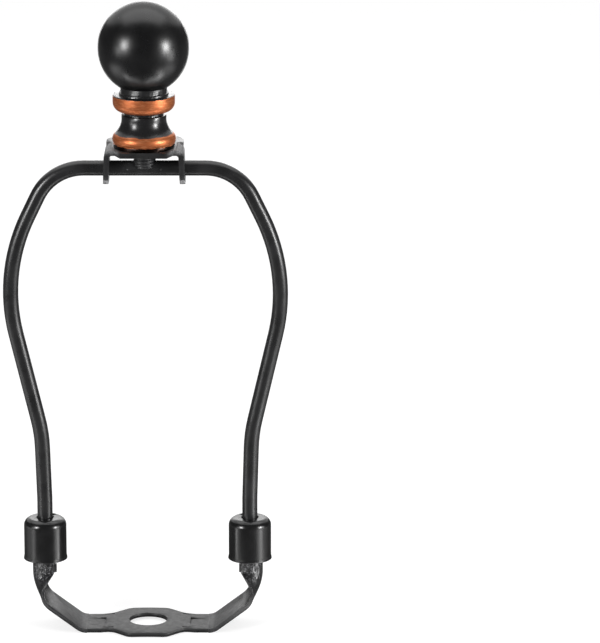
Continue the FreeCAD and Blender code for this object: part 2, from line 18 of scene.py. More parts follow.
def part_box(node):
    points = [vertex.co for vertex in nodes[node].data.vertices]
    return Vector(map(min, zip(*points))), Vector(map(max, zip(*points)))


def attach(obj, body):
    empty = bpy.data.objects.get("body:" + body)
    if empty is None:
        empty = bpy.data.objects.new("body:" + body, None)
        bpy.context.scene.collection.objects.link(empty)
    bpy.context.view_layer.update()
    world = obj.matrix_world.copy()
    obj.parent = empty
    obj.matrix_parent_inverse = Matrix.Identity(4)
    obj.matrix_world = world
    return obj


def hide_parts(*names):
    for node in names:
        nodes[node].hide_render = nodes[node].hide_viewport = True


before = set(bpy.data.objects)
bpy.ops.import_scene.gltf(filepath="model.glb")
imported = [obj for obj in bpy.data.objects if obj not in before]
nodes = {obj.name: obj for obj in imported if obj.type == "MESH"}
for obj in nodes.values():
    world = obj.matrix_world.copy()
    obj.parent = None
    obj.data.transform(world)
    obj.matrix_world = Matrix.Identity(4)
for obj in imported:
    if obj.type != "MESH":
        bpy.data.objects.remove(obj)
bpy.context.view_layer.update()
MM = 0.001
print("nodes:", sorted(nodes))

# %% [markdown]
# ## Camera
# The harp was photographed from a little above with a long lens, so its rings show as flat
# ellipses. A short lens close by would open the lower rings far more than the upper ones.
# These numbers come from a pinhole camera that was fitted to the ellipses. The camera stood
# 43 mm to the right of the harp and looked straight ahead, which leaves the harp in the
# left half of the picture.

# %% Camera
PICTURE = (600, 643)
CAMERA_PLACE = (0.0432, -1.250, 0.4217)
CAMERA_PITCH = math.radians(14.88)
FOCAL_PIXELS = 4618
SENSOR_HEIGHT = 24.0
NEAREST_SEEN, FARTHEST_SEEN = 0.05, 20

camera_data = bpy.data.cameras.new("camera")
camera_data.sensor_fit = "VERTICAL"
camera_data.sensor_height = SENSOR_HEIGHT
camera_data.lens = FOCAL_PIXELS / PICTURE[1] * SENSOR_HEIGHT
camera_data.clip_start = NEAREST_SEEN
camera_data.clip_end = FARTHEST_SEEN
camera = bpy.data.objects.new("camera", camera_data)
look = Euler((math.radians(90) - CAMERA_PITCH, 0, 0)).to_matrix()
camera.matrix_world = Matrix.Translation(CAMERA_PLACE) @ look.to_4x4()
bpy.context.scene.collection.objects.link(camera)
bpy.context.scene.camera = camera
print("lens", round(camera_data.lens, 1), "mm")

# %% [markdown]
# ## A helper for meshes
# A mesh holds a shape, and an object shows it in a place. Each piece is made in a bmesh,
# where meshes are edited by script, and is then linked as an object at the origin, so that
# its place is in its mesh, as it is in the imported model.

# %% Mesh helper
def finished(name, mesh_in_work, smooth=True):
    """Turns a bmesh into an object at the origin."""
    mesh = bpy.data.meshes.new(name)
    mesh_in_work.to_mesh(mesh)
    mesh_in_work.free()
    mesh.polygons.foreach_set("use_smooth", [smooth] * len(mesh.polygons))
    piece = bpy.data.objects.new(name, mesh)
    bpy.context.scene.collection.objects.link(piece)
    print(name, len(mesh.polygons), "faces")
    return piece


# %% [markdown]
# ## Softened edges
# No real edge is perfectly sharp: stamped sheet and turned metal have a small radius that
# catches the light, and paint rounds it further. The solids could carry these radii, but
# they only matter to the eye. So a copy of each solid is welded, its flat stretches are
# joined into whole faces, and a Bevel modifier rounds every edge that turns sharply. The
# copies stand for the solids in the picture. The bracket's bevel is held back where it
# would run into itself, in the small corners beside the ears.

# %% Soften the edges
WELD = 0.002 * MM
FLAT = math.radians(0.3)
SHARP = math.radians(38)
EDGE_SEGMENTS = 2


def softened(node_name, body, width, clamped=False):
    """A copy of a solid with rounded edges, which replaces it in the picture."""
    work = bmesh.new()
    work.from_mesh(nodes[node_name].data)
    bmesh.ops.remove_doubles(work, verts=work.verts, dist=WELD)
    bmesh.ops.dissolve_limit(work, angle_limit=FLAT, verts=work.verts, edges=work.edges)
    piece = finished("soft_" + node_name, work)
    bevel = piece.modifiers.new("rounded edges", "BEVEL")
    bevel.width = width
    bevel.segments = EDGE_SEGMENTS
    bevel.limit_method = "ANGLE"
    bevel.angle_limit = SHARP
    bevel.use_clamp_overlap = clamped
    bevel.harden_normals = True
    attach(piece, body)
    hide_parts(node_name)
    return piece


saddle = softened("base_saddle", "saddle", width=0.14 * MM)
bracket = softened("top_bracket", "bracket", width=0.12 * MM, clamped=True)
left_sleeve = softened("left_sleeve", "left_sleeve", width=0.08 * MM)
right_sleeve = softened("right_sleeve", "right_sleeve", width=0.08 * MM)
finial_base = softened("finial_base", "finial", width=0.1 * MM)

# %% [markdown]
# ## Thread of the stud
# The foot of the stud shows between the bracket's plate and the wire. A bump would only
# draw lines on it and leave its outline straight, so the thread is cut for real. One tooth
# of its profile is spun about the stud and rises by one pitch a turn, which gives a screw
# that is a little too long at both ends.

# %% Sizes of the thread
THREAD_PITCH = 0.94 * MM
THREAD_DEPTH = 0.32 * MM
STEPS_PER_TURN = 48
# Each corner of the tooth: its share of the depth, and its share of the pitch.
TOOTH = ((1, 0), (0.85, 0.1), (0.12, 0.3), (0, 0.42), (0, 0.58), (0.12, 0.7), (0.85, 0.9), (1, 1))

stud_low, stud_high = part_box("threaded_stud")
stud_radius = (stud_high[0] - stud_low[0]) / 2
turns = math.ceil((stud_high[2] - stud_low[2]) / THREAD_PITCH) + 2
print("stud", round(stud_radius / MM, 2), "mm in radius,", turns, "turns")

# %% Spin the thread
thread_mesh = bmesh.new()
tooth = []
for depth, share in TOOTH:
    radius = stud_radius - depth * THREAD_DEPTH
    height = stud_low[2] + (share - 1) * THREAD_PITCH
    tooth.append(thread_mesh.verts.new((radius, 0, height)))
profile = [thread_mesh.edges.new(pair) for pair in zip(tooth, tooth[1:])]
bmesh.ops.spin(thread_mesh, geom=tooth + profile, cent=(0, 0, 0), axis=(0, 0, 1),
               dvec=(0, 0, THREAD_PITCH / STEPS_PER_TURN), angle=math.tau * turns,
               steps=STEPS_PER_TURN * turns, use_merge=False)
bmesh.ops.remove_doubles(thread_mesh, verts=thread_mesh.verts, dist=WELD)
print("screw", len(thread_mesh.faces), "faces")

# %% [markdown]
# ## Ends of the thread
# Two cuts level the screw, its foot is drawn in to a chamfer, and the open ends are closed.
# The normals are worked out again at the end, because a spin can turn a shape inside out.

# %% Level and close the thread
FOOT_CHAMFER = 0.45 * MM

for height, direction in ((stud_low[2], -1), (stud_high[2], 1)):
    everything = thread_mesh.verts[:] + thread_mesh.edges[:] + thread_mesh.faces[:]
    bmesh.ops.bisect_plane(thread_mesh, geom=everything, dist=WELD / 10,
                           plane_co=(0, 0, height), plane_no=(0, 0, direction),
                           clear_outer=True)
chamfer_top = stud_low[2] + FOOT_CHAMFER
foot_verts = [vert for vert in thread_mesh.verts if vert.co.z < chamfer_top]
for vert in foot_verts:
    inward = (chamfer_top - vert.co.z) / stud_radius
    vert.co.xy *= 1 - inward
open_edges = [edge for edge in thread_mesh.edges if edge.is_boundary]
bmesh.ops.holes_fill(thread_mesh, edges=open_edges)
bmesh.ops.recalc_face_normals(thread_mesh, faces=thread_mesh.faces)
stud = finished("stud_thread", thread_mesh)

# %% [markdown]
# ## Groove in the stud's foot
# The foot stands astride the wire, with the clearance that lets the bracket swivel. A
# Boolean modifier takes a cylinder away from the screw. Its result becomes the stud's own
# mesh, because the cylinder is then deleted.

# %% Cut the groove
RUNNING_CLEARANCE = 0.07 * MM
GROOVE_SEGMENTS = 64

wire_low, wire_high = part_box("harp_wire")
WIRE_RADIUS = (wire_high[1] - wire_low[1]) / 2
GROOVE_RADIUS = WIRE_RADIUS + RUNNING_CLEARANCE
top_run = wire_high[2] - WIRE_RADIUS

groove_mesh = bmesh.new()
bmesh.ops.create_cone(groove_mesh, cap_ends=True, segments=GROOVE_SEGMENTS,
                      radius1=GROOVE_RADIUS, radius2=GROOVE_RADIUS, depth=4 * stud_radius)
across = Matrix.Rotation(math.radians(90), 3, "Y")
bmesh.ops.rotate(groove_mesh, verts=groove_mesh.verts, matrix=across)
bmesh.ops.translate(groove_mesh, verts=groove_mesh.verts, vec=(0, 0, top_run))
cutter = finished("groove_cutter", groove_mesh)

cut = stud.modifiers.new("groove", "BOOLEAN")
cut.object = cutter
cut.operation = "DIFFERENCE"
cut.solver = "EXACT"
cut_stud = stud.evaluated_get(bpy.context.evaluated_depsgraph_get())
stud_mesh = bpy.data.meshes.new_from_object(cut_stud)
stud.modifiers.clear()
stud.data = stud_mesh
bpy.data.objects.remove(cutter)
stud.data.shade_smooth()
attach(stud, "bracket")
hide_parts("threaded_stud")
print("stud", len(stud.data.polygons), "faces")

# %% [markdown]
# ## Pips on the wire
# Two tiny pips stand on the front of the wire, one on each side of the stud. They are too
# small for the solids and too round for a bump, so each is a little sphere that is mostly
# sunk in the wire.

# %% Pips
PIP_SIDE = 4.7 * MM
PIP_RADIUS = 0.32 * MM
PIP_SINK = 0.1 * MM

pips_mesh = bmesh.new()
for side in (-1, 1):
    made = bmesh.ops.create_uvsphere(pips_mesh, u_segments=16, v_segments=10, radius=PIP_RADIUS)
    place = (side * PIP_SIDE, PIP_SINK - WIRE_RADIUS, top_run)
    bmesh.ops.translate(pips_mesh, verts=made["verts"], vec=place)
pips = finished("wire_pips", pips_mesh)
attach(pips, "harp")

# %% [markdown]
# ## Helpers for materials
# Each material is a small tree of nodes. The trees could be drawn by hand in the editor,
# but a few short helpers keep them readable as text: the first makes a material, the second
# a node with its values, and the third a sum.

# %% Nodes
def new_material(name):
    """A material with its node tree and its shader."""
    material = bpy.data.materials.new(name)
    material.use_nodes = True
    tree = material.node_tree
    return material, tree, tree.nodes["Principled BSDF"]


def node(tree, kind, **settings):
    """A node with its settings and the values of its sockets."""
    made = tree.nodes.new(kind)
    for key, value in settings.items():
        if key in made.inputs:
            made.inputs[key].default_value = value
        else:
            setattr(made, key, value)
    return made


def maths(tree, operation, first, second=None):
    """One sum, product or the like of two values, each a number or a socket."""
    made = node(tree, "ShaderNodeMath", operation=operation)
    for index, value in enumerate((first, second)):
        if isinstance(value, (int, float)):
            made.inputs[index].default_value = value
        elif value is not None:
            tree.links.new(value, made.inputs[index])
    return made.outputs[0]


# %% [markdown]
# ## Sums and masks
# Most nodes in these trees work on masks. A mask is a value that is 1 in one place and 0
# elsewhere, and fades in between. The product of two masks is where both hold, and the
# larger of two masks is where either does.

# %% Sums and masks
def times(tree, first, second):
    """The product of two values."""
    return maths(tree, "MULTIPLY", first, second)


def larger(tree, first, second):
    """The larger of two values, which also joins two masks."""
    return maths(tree, "MAXIMUM", first, second)


def hypotenuse(tree, first, second):
    """The diagonal over two lengths that meet at a right angle."""
    squares = maths(tree, "ADD", times(tree, first, first), times(tree, second, second))
    return maths(tree, "SQRT", squares)


def spread(tree, value, low, high, start=0.35, end=0.65):
    """Maps a value from start..end, where most noise lies, to low..high and holds it there."""
    mapped = node(tree, "ShaderNodeMapRange")
    for name, number in (("From Min", start), ("From Max", end), ("To Min", low), ("To Max", high)):
        mapped.inputs[name].default_value = number
    tree.links.new(value, mapped.inputs["Value"])
    return mapped.outputs["Result"]


def between(tree, value, low, high, soft):
    """1 where a value lies between low and high, with soft edges."""
    rise = spread(tree, value, 0, 1, low - soft, low + soft)
    fall = spread(tree, value, 1, 0, high - soft, high + soft)
    return times(tree, rise, fall)


# %% [markdown]
# ## Colours and blends
# A finish that changes over a piece is a blend of two, and a mask says how much of each
# there is. The Mix node blends colours as well as single values such as roughness.

# %% Colours and blends
def toned(colour, share):
    """A colour made darker, or lighter where the share is over 1."""
    return tuple(part * share for part in colour)


def mixed(tree, amount, first, second):
    """A colour between two colours, each three numbers or a socket."""
    made = node(tree, "ShaderNodeMix", data_type="RGBA")
    tree.links.new(amount, made.inputs["Factor"])
    for socket, colour in (("A", first), ("B", second)):
        if isinstance(colour, tuple):
            made.inputs[socket].default_value = (*colour, 1)
        else:
            tree.links.new(colour, made.inputs[socket])
    return made.outputs["Result"]


def blended(tree, amount, first, second):
    """A value between the values of two sockets."""
    made = node(tree, "ShaderNodeMix", data_type="FLOAT")
    for socket, value in (("Factor", amount), ("A", first), ("B", second)):
        tree.links.new(value, made.inputs[socket])
    return made.outputs["Result"]


# %% [markdown]
# ## Places and patterns
# A pattern has to know where a point lies. A UV map could say so, but each piece would
# first have to be unwrapped. Object coordinates are simply metres on the harp, so a cell of
# noise gets its real size, and the pattern stays with its piece when the piece moves.

# %% Places and patterns
def place_on(tree, stretch=(1, 1, 1)):
    """The piece's own coordinates in metres, stretched along its axes."""
    place = node(tree, "ShaderNodeTexCoord")
    mapping = node(tree, "ShaderNodeMapping", Scale=stretch)
    tree.links.new(place.outputs["Object"], mapping.inputs["Vector"])
    return mapping.outputs["Vector"]


def along(tree, axis):
    """The height (Z), side (X) or depth (Y) of a point on the piece, in metres."""
    parts = node(tree, "ShaderNodeSeparateXYZ")
    tree.links.new(place_on(tree), parts.inputs["Vector"])
    return parts.outputs[axis]


def away(tree, axis):
    """How far a point lies from the middle along an axis, on either side."""
    return maths(tree, "ABSOLUTE", along(tree, axis))


def from_axis(tree):
    """The distance of a point from the harp's upright middle line, in metres."""
    return hypotenuse(tree, along(tree, "X"), along(tree, "Y"))


def noise(tree, cell, detail=3.0, stretch=(1, 1, 1), rough=0.5):
    """Noise with cells of a stated size, from 0 to 1."""
    made = node(tree, "ShaderNodeTexNoise", Scale=1 / cell, Detail=detail, Roughness=rough)
    tree.links.new(place_on(tree, stretch), made.inputs["Vector"])
    return made.outputs["Fac"]


# %% [markdown]
# ## Dust specks
# A little dust settles in any sprayed paint. Dots could be set one by one, but a Voronoi
# pattern has a dot in the middle of every cell and gives each cell a random colour. Only
# the cells with little red keep their dot.

# %% Dust specks
SPECK_CORE = 0.6
CHOICE_EDGE = 0.98


def specks(tree, cell, share, size):
    """1 on a few dust specks: a share of the cells of a Voronoi pattern has one."""
    cells = node(tree, "ShaderNodeTexVoronoi", Scale=1 / cell)
    tree.links.new(place_on(tree), cells.inputs["Vector"])
    near = spread(tree, cells.outputs["Distance"], 1, 0, size * SPECK_CORE, size)
    colour = node(tree, "ShaderNodeSeparateColor")
    tree.links.new(cells.outputs["Color"], colour.inputs["Color"])
    chosen = spread(tree, colour.outputs["Red"], 1, 0, share * CHOICE_EDGE, share)
    return times(tree, near, chosen)


# %% [markdown]
# ## Bumps
# Orange peel, grain and wrinkles are far too fine to model. A Bump node leaves the mesh as
# it is and only tilts the light on it, which is enough for them, and bumps in a row add up.

# %% Bumps
def bumped(tree, shader, *layers):
    """Adds up bump layers of (height, depth in metres, strength) into the shader's normal."""
    normal = None
    for height, depth, strength in layers:
        bump = node(tree, "ShaderNodeBump", Distance=depth)
        if isinstance(strength, (int, float)):
            bump.inputs["Strength"].default_value = strength
        else:
            tree.links.new(strength, bump.inputs["Strength"])
        tree.links.new(height, bump.inputs["Height"])
        if normal is not None:
            tree.links.new(normal, bump.inputs["Normal"])
        normal = bump.outputs["Normal"]
    tree.links.new(normal, shader.inputs["Normal"])


# %% [markdown]
# ## Gloss black enamel
# The wire, the sleeves and the ball have a sprayed black enamel: nearly black by itself, so
# what one sees is the room in it. One flat colour and gloss would look like plastic out of
# a computer, because real paint is never quite even. A slow noise varies its gloss, a fine
# one gives it the faint orange peel of sprayed lacquer, and a few dust specks have settled
# on it.

# %% Enamel
DUST = (0.16, 0.16, 0.165)
PLAIN_SPECULAR = 0.5
ENAMEL_DARK, ENAMEL_LIGHT = 0.75, 1.3
SPECK_SIZE = 0.075
PEEL_STRENGTH, FINE_PEEL_STRENGTH = 0.35, 0.25
# The fine peel is so many times finer and shallower than the coarse one.
FINER, SHALLOWER = 6, 8


def enamel(name, colour, gloss, peel, dust=0.05):
    """Sprayed black paint. Gloss is its range of roughness, peel its bumps' size and depth."""
    material, tree, shader = new_material(name)
    shader.inputs["Specular IOR Level"].default_value = PLAIN_SPECULAR
    cloud = spread(tree, noise(tree, cell=5 * MM), 0, 1)
    tint = mixed(tree, cloud, toned(colour, ENAMEL_DARK), toned(colour, ENAMEL_LIGHT))
    dirt = specks(tree, cell=2.2 * MM, share=dust, size=SPECK_SIZE)
    tree.links.new(mixed(tree, dirt, tint, DUST), shader.inputs["Base Color"])
    roughness = spread(tree, noise(tree, cell=3.5 * MM, detail=5), *gloss)
    tree.links.new(roughness, shader.inputs["Roughness"])
    size, depth = peel
    bumped(tree, shader, (noise(tree, size, detail=2), depth, PEEL_STRENGTH),
           (noise(tree, size / FINER, detail=1), depth / SHALLOWER, FINE_PEEL_STRENGTH))
    return material


wire_enamel = enamel("wire_enamel", (0.012, 0.012, 0.0125),
                     gloss=(0.26, 0.34), peel=(1.6 * MM, 0.02 * MM))
sleeve_enamel = enamel("sleeve_enamel", (0.006, 0.006, 0.0063),
                       gloss=(0.2, 0.26), peel=(1.2 * MM, 0.015 * MM))
ball_enamel = enamel("ball_enamel", (0.003, 0.003, 0.0033),
                     gloss=(0.27, 0.31), peel=(2.0 * MM, 0.012 * MM), dust=0.03)
print("enamels:", wire_enamel.name, sleeve_enamel.name, ball_enamel.name)

# %% [markdown]
# ## Black sheet metal
# The saddle and the bracket are stamped sheet with a thinner, duller coat. It is a dark
# grey where it faces up, with fine grain. The press left its marks on it: sheared edges are
# smoother, and curled sheet is wrinkled. A few places where the sheet catches the light are
# painted lighter, as painted sheen and glints. Such places could be painted on an image, but
# a mask that asks where a point lies is made of numbers alone, and it stays sharp from close by.

# %% Sheet metal
COAT_DARK, COAT_LIGHT = 0.8, 1.2
LEAST_SHEEN = 0.25
EXTRA_POLISH = 0.22
GRAIN_DEPTH = 0.012 * MM
GRAIN_STRENGTH = 0.6
WRINKLE_DEPTH = 0.5 * MM
UPRIGHT_WRINKLES = (1, 1, 0.45)


def sheet_coat(name, colour, gloss, painted_sheen, sheen_colour, wrinkled=None, polished=None):
    """A dull coat on pressed sheet. Sheen, wrinkled and polished make masks in its tree; the sheen
    is painted light.
    """
    material, tree, shader = new_material(name)
    shader.inputs["Specular IOR Level"].default_value = PLAIN_SPECULAR
    cloud = spread(tree, noise(tree, cell=2.5 * MM, detail=4), 0, 1)
    tint = mixed(tree, cloud, toned(colour, COAT_DARK), toned(colour, COAT_LIGHT))
    # Painted sheen and glints: a mask lightens the coat where the sheet catches the light.
    sheen_patches = spread(tree, noise(tree, cell=0.5 * MM, detail=4), LEAST_SHEEN, 1)
    sheen_amount = times(tree, painted_sheen(tree), sheen_patches)
    tree.links.new(mixed(tree, sheen_amount, tint, sheen_colour), shader.inputs["Base Color"])
    roughness = spread(tree, noise(tree, cell=1.2 * MM, detail=4), *gloss)
    if polished:
        roughness = maths(tree, "SUBTRACT", roughness, times(tree, polished(tree), EXTRA_POLISH))
    tree.links.new(roughness, shader.inputs["Roughness"])
    layers = [(noise(tree, cell=0.35 * MM, detail=3), GRAIN_DEPTH, GRAIN_STRENGTH)]
    if wrinkled:
        wrinkles = noise(tree, cell=1.0 * MM, detail=2, stretch=UPRIGHT_WRINKLES)
        layers.append((wrinkles, WRINKLE_DEPTH, wrinkled(tree)))
    bumped(tree, shader, *layers)
    return material


# %% [markdown]
# ## The saddle's coat
# The saddle is one strip of sheet. Its arms leave the flat strip in a bend, which has a little
# painted sheen, and its ends were curled into posts, which wrinkled them under the sleeves;
# the light flecks there are painted glints. The drawn arms and the sheared edges of the strip
# and its hole are smoother than its faces. The middle of the strip is crowned, so the mask for
# its edges follows that crown: it measures heights from it.

# %% Masks of the saddle
ARM_FOOT = (17.2 * MM, 20.5 * MM)
ARM_FOOT_EDGE = 1.0 * MM
ARM_FOOT_SHEEN = 0.2
POST_FOOT = (14.5 * MM, 20.5 * MM)
POST_FOOT_EDGE = 1.2 * MM
POST_SIDE = (26 * MM, 27 * MM)
GLINT_FLECKS = (0.54, 0.62)
DRAWN_SIDE = (20 * MM, 26 * MM)
STRIP_SIDE = (16.5 * MM, 17.5 * MM)
CROWN_HALF = 14.9 * MM
CROWN_RISE = 0.8 * MM
EDGE_TOP = (0.64 * MM, 0.74 * MM)


def post_fronts(tree):
    """The foot of each post, just under its sleeve."""
    height = between(tree, along(tree, "Z"), *POST_FOOT, POST_FOOT_EDGE)
    return times(tree, height, spread(tree, away(tree, "X"), 0, 1, *POST_SIDE))


def saddle_sheen(tree):
    """Painted sheen on the arms' bends, and flecks of painted glints on the posts' fronts."""
    foot = between(tree, away(tree, "X"), *ARM_FOOT, ARM_FOOT_EDGE)
    # Painted sheen on the bend, and painted glints in flecks on the posts.
    bend = times(tree, foot, ARM_FOOT_SHEEN)
    glint_flecks = spread(tree, noise(tree, cell=0.5 * MM, detail=2), 0, 1, *GLINT_FLECKS)
    return larger(tree, bend, times(tree, post_fronts(tree), glint_flecks))


def saddle_polish(tree):
    """The arms' upper halves and the posts, and the sheared edges of the strip and its hole."""
    side = away(tree, "X")
    drawn = spread(tree, side, 0, 1, *DRAWN_SIDE)
    share = maths(tree, "DIVIDE", from_axis(tree), CROWN_HALF)
    crown = larger(tree, maths(tree, "SUBTRACT", 1, times(tree, share, share)), 0)
    over = maths(tree, "SUBTRACT", along(tree, "Z"), times(tree, crown, CROWN_RISE))
    below_the_face = spread(tree, over, 1, 0, *EDGE_TOP)
    on_the_strip = spread(tree, side, 1, 0, *STRIP_SIDE)
    return larger(tree, drawn, times(tree, below_the_face, on_the_strip))


# The light colour below paints sheen on the arms' bends and glints on the posts.
saddle_coat = sheet_coat("saddle_coat", (0.015, 0.015, 0.0156), (0.48, 0.58),
                         painted_sheen=saddle_sheen, sheen_colour=(0.13, 0.13, 0.137),
                         wrinkled=post_fronts, polished=saddle_polish)
print("coat:", saddle_coat.name)

# %% [markdown]
# ## The bracket's coat
# The outsides of the bracket's two bends have a painted sheen, and the rims of the ears'
# rounded ends a painted highlight. Each ear ends in two quarter circles with a short flat
# between them, so the mask measures how far a point reaches from the middles of those
# circles. The stud and the pips have a coat of the same kind, a little lighter, which on the
# pips stands in for a faint painted glint.

# %% Masks of the bracket
EAR_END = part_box("top_bracket")[0][2]
EAR_ROUNDING = 4.0 * MM
EAR_FLAT = 1.4 * MM
EAR_RIM = (EAR_ROUNDING - 0.3 * MM, EAR_ROUNDING - 0.15 * MM)
EAR_TIP_TOP = (EAR_END + 1.5 * MM, EAR_END + 1.8 * MM)
PLATE_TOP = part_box("top_bracket")[1][2]
BEND_SIDE = (6.5 * MM, 8.0 * MM)
BEND_HEIGHT = (PLATE_TOP - 1.6 * MM, PLATE_TOP - 0.6 * MM)
BEND_SHEEN = 0.4
FRONT_FACE = (-8.7 * MM, -8.3 * MM)
FRONT_EDGE = (-8.6 * MM, -8.2 * MM)
FRONT_POLISH = 0.4


def ear_rim_highlights(tree):
    """The rims of the ears' rounded ends, where a highlight is painted."""
    height = along(tree, "Z")
    over_side = larger(tree, maths(tree, "SUBTRACT", away(tree, "Y"), EAR_FLAT), 0)
    over_end = maths(tree, "SUBTRACT", EAR_END + EAR_ROUNDING, height)
    rim = spread(tree, hypotenuse(tree, over_side, over_end), 0, 1, *EAR_RIM)
    return times(tree, rim, spread(tree, height, 1, 0, *EAR_TIP_TOP))


def bracket_sheen(tree):
    """Painted highlights on the ears' rims, and painted sheen on the bends' outsides behind the
    front.
    """
    bends = times(tree, spread(tree, away(tree, "X"), 0, BEND_SHEEN, *BEND_SIDE),
                  spread(tree, along(tree, "Z"), 0, 1, *BEND_HEIGHT))
    behind_the_front = spread(tree, along(tree, "Y"), 0, 1, *FRONT_FACE)
    return larger(tree, ear_rim_highlights(tree), times(tree, bends, behind_the_front))


def cut_fronts(tree):
    """The sheared front edges of the bracket, which are smoother than its faces."""
    return spread(tree, along(tree, "Y"), FRONT_POLISH, 0, *FRONT_EDGE)


# The light colour below paints a highlight on the ear rims and sheen on the bends.
bracket_coat = sheet_coat("bracket_coat", (0.014, 0.014, 0.0146), (0.36, 0.44),
                          painted_sheen=bracket_sheen, sheen_colour=(0.5, 0.5, 0.51), polished=cut_fronts)
stud_coat = sheet_coat("stud_coat", (0.02, 0.02, 0.021), (0.34, 0.44),
                       painted_sheen=bracket_sheen, sheen_colour=(0.2, 0.2, 0.21))
print("coats:", bracket_coat.name, stud_coat.name)

# %% [markdown]
# ## The finial's copper bands
# The finial's base is turned metal, painted black, with its two raised bands rubbed back to
# copper lacquer. The bands could be pieces of their own, but they are the same metal with
# less paint on it. So one material covers the base: the height of a point and its distance
# from the middle line say whether it is on a band, and a little noise makes the paint's
# edge wander. The copper was brushed on the lathe, so its grain runs round it.

# %% Where the copper shows
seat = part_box("finial_base")[0][2]
RING = (seat + 10.05 * MM, seat + 14.62 * MM)
RING_EDGE = 0.05 * MM
RING_SIDE = (6.2 * MM, 6.4 * MM)
LOWER_BAND = (seat + 1.1 * MM, seat + 3.95 * MM)
LOWER_BAND_EDGE = 0.09 * MM
FOOT_TOP = (LOWER_BAND[0] - 0.05 * MM, LOWER_BAND[0] + 0.05 * MM)
NECK_START = (RING[1] + 0.5 * MM, RING[1] + 0.6 * MM)
PAINT_WANDER = 0.12 * MM


def copper_bands(tree, height):
    """1 on the ring's outside and on the lower band, 0 on the black."""
    ring = times(tree, between(tree, height, *RING, RING_EDGE),
                 spread(tree, from_axis(tree), 0, 1, *RING_SIDE))
    return larger(tree, ring, between(tree, height, *LOWER_BAND, LOWER_BAND_EDGE))


print("ring from", round(RING[0] / MM, 2), "to", round(RING[1] / MM, 2), "mm")

# %% [markdown]
# ## Copper and black
# The copper is lacquer over metal, so it is only partly metallic. Its brush marks are noise
# that is squeezed in height and so runs round the base. The black is a little duller on the
# neck, under the ball, and the base's narrow foot is metallic with a brown tint, which is a
# painted reflection of the copper band above it.

# %% Copper and black
COPPER = (0.5, 0.148, 0.05)
COPPER_LIGHT = (0.66, 0.24, 0.1)
COPPER_RED = (0.43, 0.115, 0.04)
COPPER_METAL = 0.75
BASE_BLACK = (0.01, 0.01, 0.0105)
PAINTED_COPPER_REFLECTION = (0.02, 0.013, 0.011)
BLACK_GLOSS = (0.22, 0.28)
COPPER_GLOSS = (0.38, 0.44)
NECK_DULLNESS = 0.12
LATHE_GRAIN = (1, 1, 9)
LATHE_STREAKS = (1, 1, 5)
TONE_RANGE = (0.38, 0.62)
STREAK_RANGE = (0.5, 0.72)
BRUSH_STRENGTH, PAINT_STRENGTH = 0.5, 0.3


def copper_tone(tree, grain):
    """Copper that shifts between red and orange along the grain, with lighter streaks."""
    tone = mixed(tree, spread(tree, grain, 0, 1, *TONE_RANGE), COPPER_RED, COPPER)
    streaks = noise(tree, cell=1.6 * MM, detail=5, stretch=LATHE_STREAKS)
    return mixed(tree, spread(tree, streaks, 0, 1, *STREAK_RANGE), tone, COPPER_LIGHT)


def finial_finish(name):
    """Gloss black with two brushed copper bands."""
    material, tree, shader = new_material(name)
    wander = spread(tree, noise(tree, cell=2.2 * MM, detail=4), -PAINT_WANDER, PAINT_WANDER)
    height = maths(tree, "ADD", along(tree, "Z"), wander)
    copper = copper_bands(tree, height)
    foot = spread(tree, height, 1, 0, *FOOT_TOP)
    grain = noise(tree, cell=3.0 * MM, detail=6, stretch=LATHE_GRAIN, rough=0.65)

    # The foot's brown tint is a painted reflection of the copper band above it.
    black = mixed(tree, foot, BASE_BLACK, PAINTED_COPPER_REFLECTION)
    black = mixed(tree, specks(tree, cell=1.2 * MM, share=0.06, size=0.09), black, DUST)
    colour = mixed(tree, copper, black, copper_tone(tree, grain))
    tree.links.new(colour, shader.inputs["Base Color"])
    metal = larger(tree, foot, times(tree, copper, COPPER_METAL))
    tree.links.new(metal, shader.inputs["Metallic"])

    neck = spread(tree, height, 0, NECK_DULLNESS, *NECK_START)
    black_gloss = spread(tree, noise(tree, cell=2.5 * MM, detail=4), *BLACK_GLOSS)
    black_gloss = maths(tree, "ADD", black_gloss, neck)
    gloss = blended(tree, copper, black_gloss, spread(tree, grain, *COPPER_GLOSS))
    tree.links.new(gloss, shader.inputs["Roughness"])
    bumped(tree, shader, (grain, GRAIN_DEPTH, times(tree, copper, BRUSH_STRENGTH)),
           (noise(tree, cell=1.3 * MM, detail=2), GRAIN_DEPTH, PAINT_STRENGTH))
    return material


finial_black_and_copper = finial_finish("finial_black_and_copper")
print("finish:", finial_black_and_copper.name)

# %% [markdown]
# ## Every piece gets its finish
# The new pieces take their material. The wire and the ball are shown as they were packed,
# and only their material changes.

# %% Give every piece its finish
for piece, material, record_slot in (
    (saddle, saddle_coat, "saddle_paint"), (left_sleeve, sleeve_enamel, "sleeve_paint"),
    (right_sleeve, sleeve_enamel, "sleeve_paint"), (bracket, bracket_coat, "bracket_paint"),
    (stud, stud_coat, "bracket_paint"), (finial_base, finial_black_and_copper, "finial_paint"),
    # The pips take the stud's lighter coat, which stands in for a faint painted glint.
    (pips, stud_coat, "wire_paint"),
):
    piece.data.materials.clear()
    piece.data.materials.append(material)
    print(piece.name, material.name)
for name, material in (("harp_wire", wire_enamel), ("finial_ball", ball_enamel)):
    for slot in nodes[name].material_slots:
        slot.material = material
    print(name, material.name)

# %% [markdown]
# ## Floor
# The picture has a white ground. More lamps could make it white, but they would burn out
# the copper too. So the floor is a pale grey, and what the camera and reflections see of it
# is lifted to white by a glow that lights nothing else. A faint soft shadow stays under the
# harp.

# %% Floor
WHITE = (1, 1, 1, 1)
FLOOR_RADIUS = 6.0
FLOOR_GREY = (0.42, 0.42, 0.42, 1)
FLOOR_LIFT = 0.74


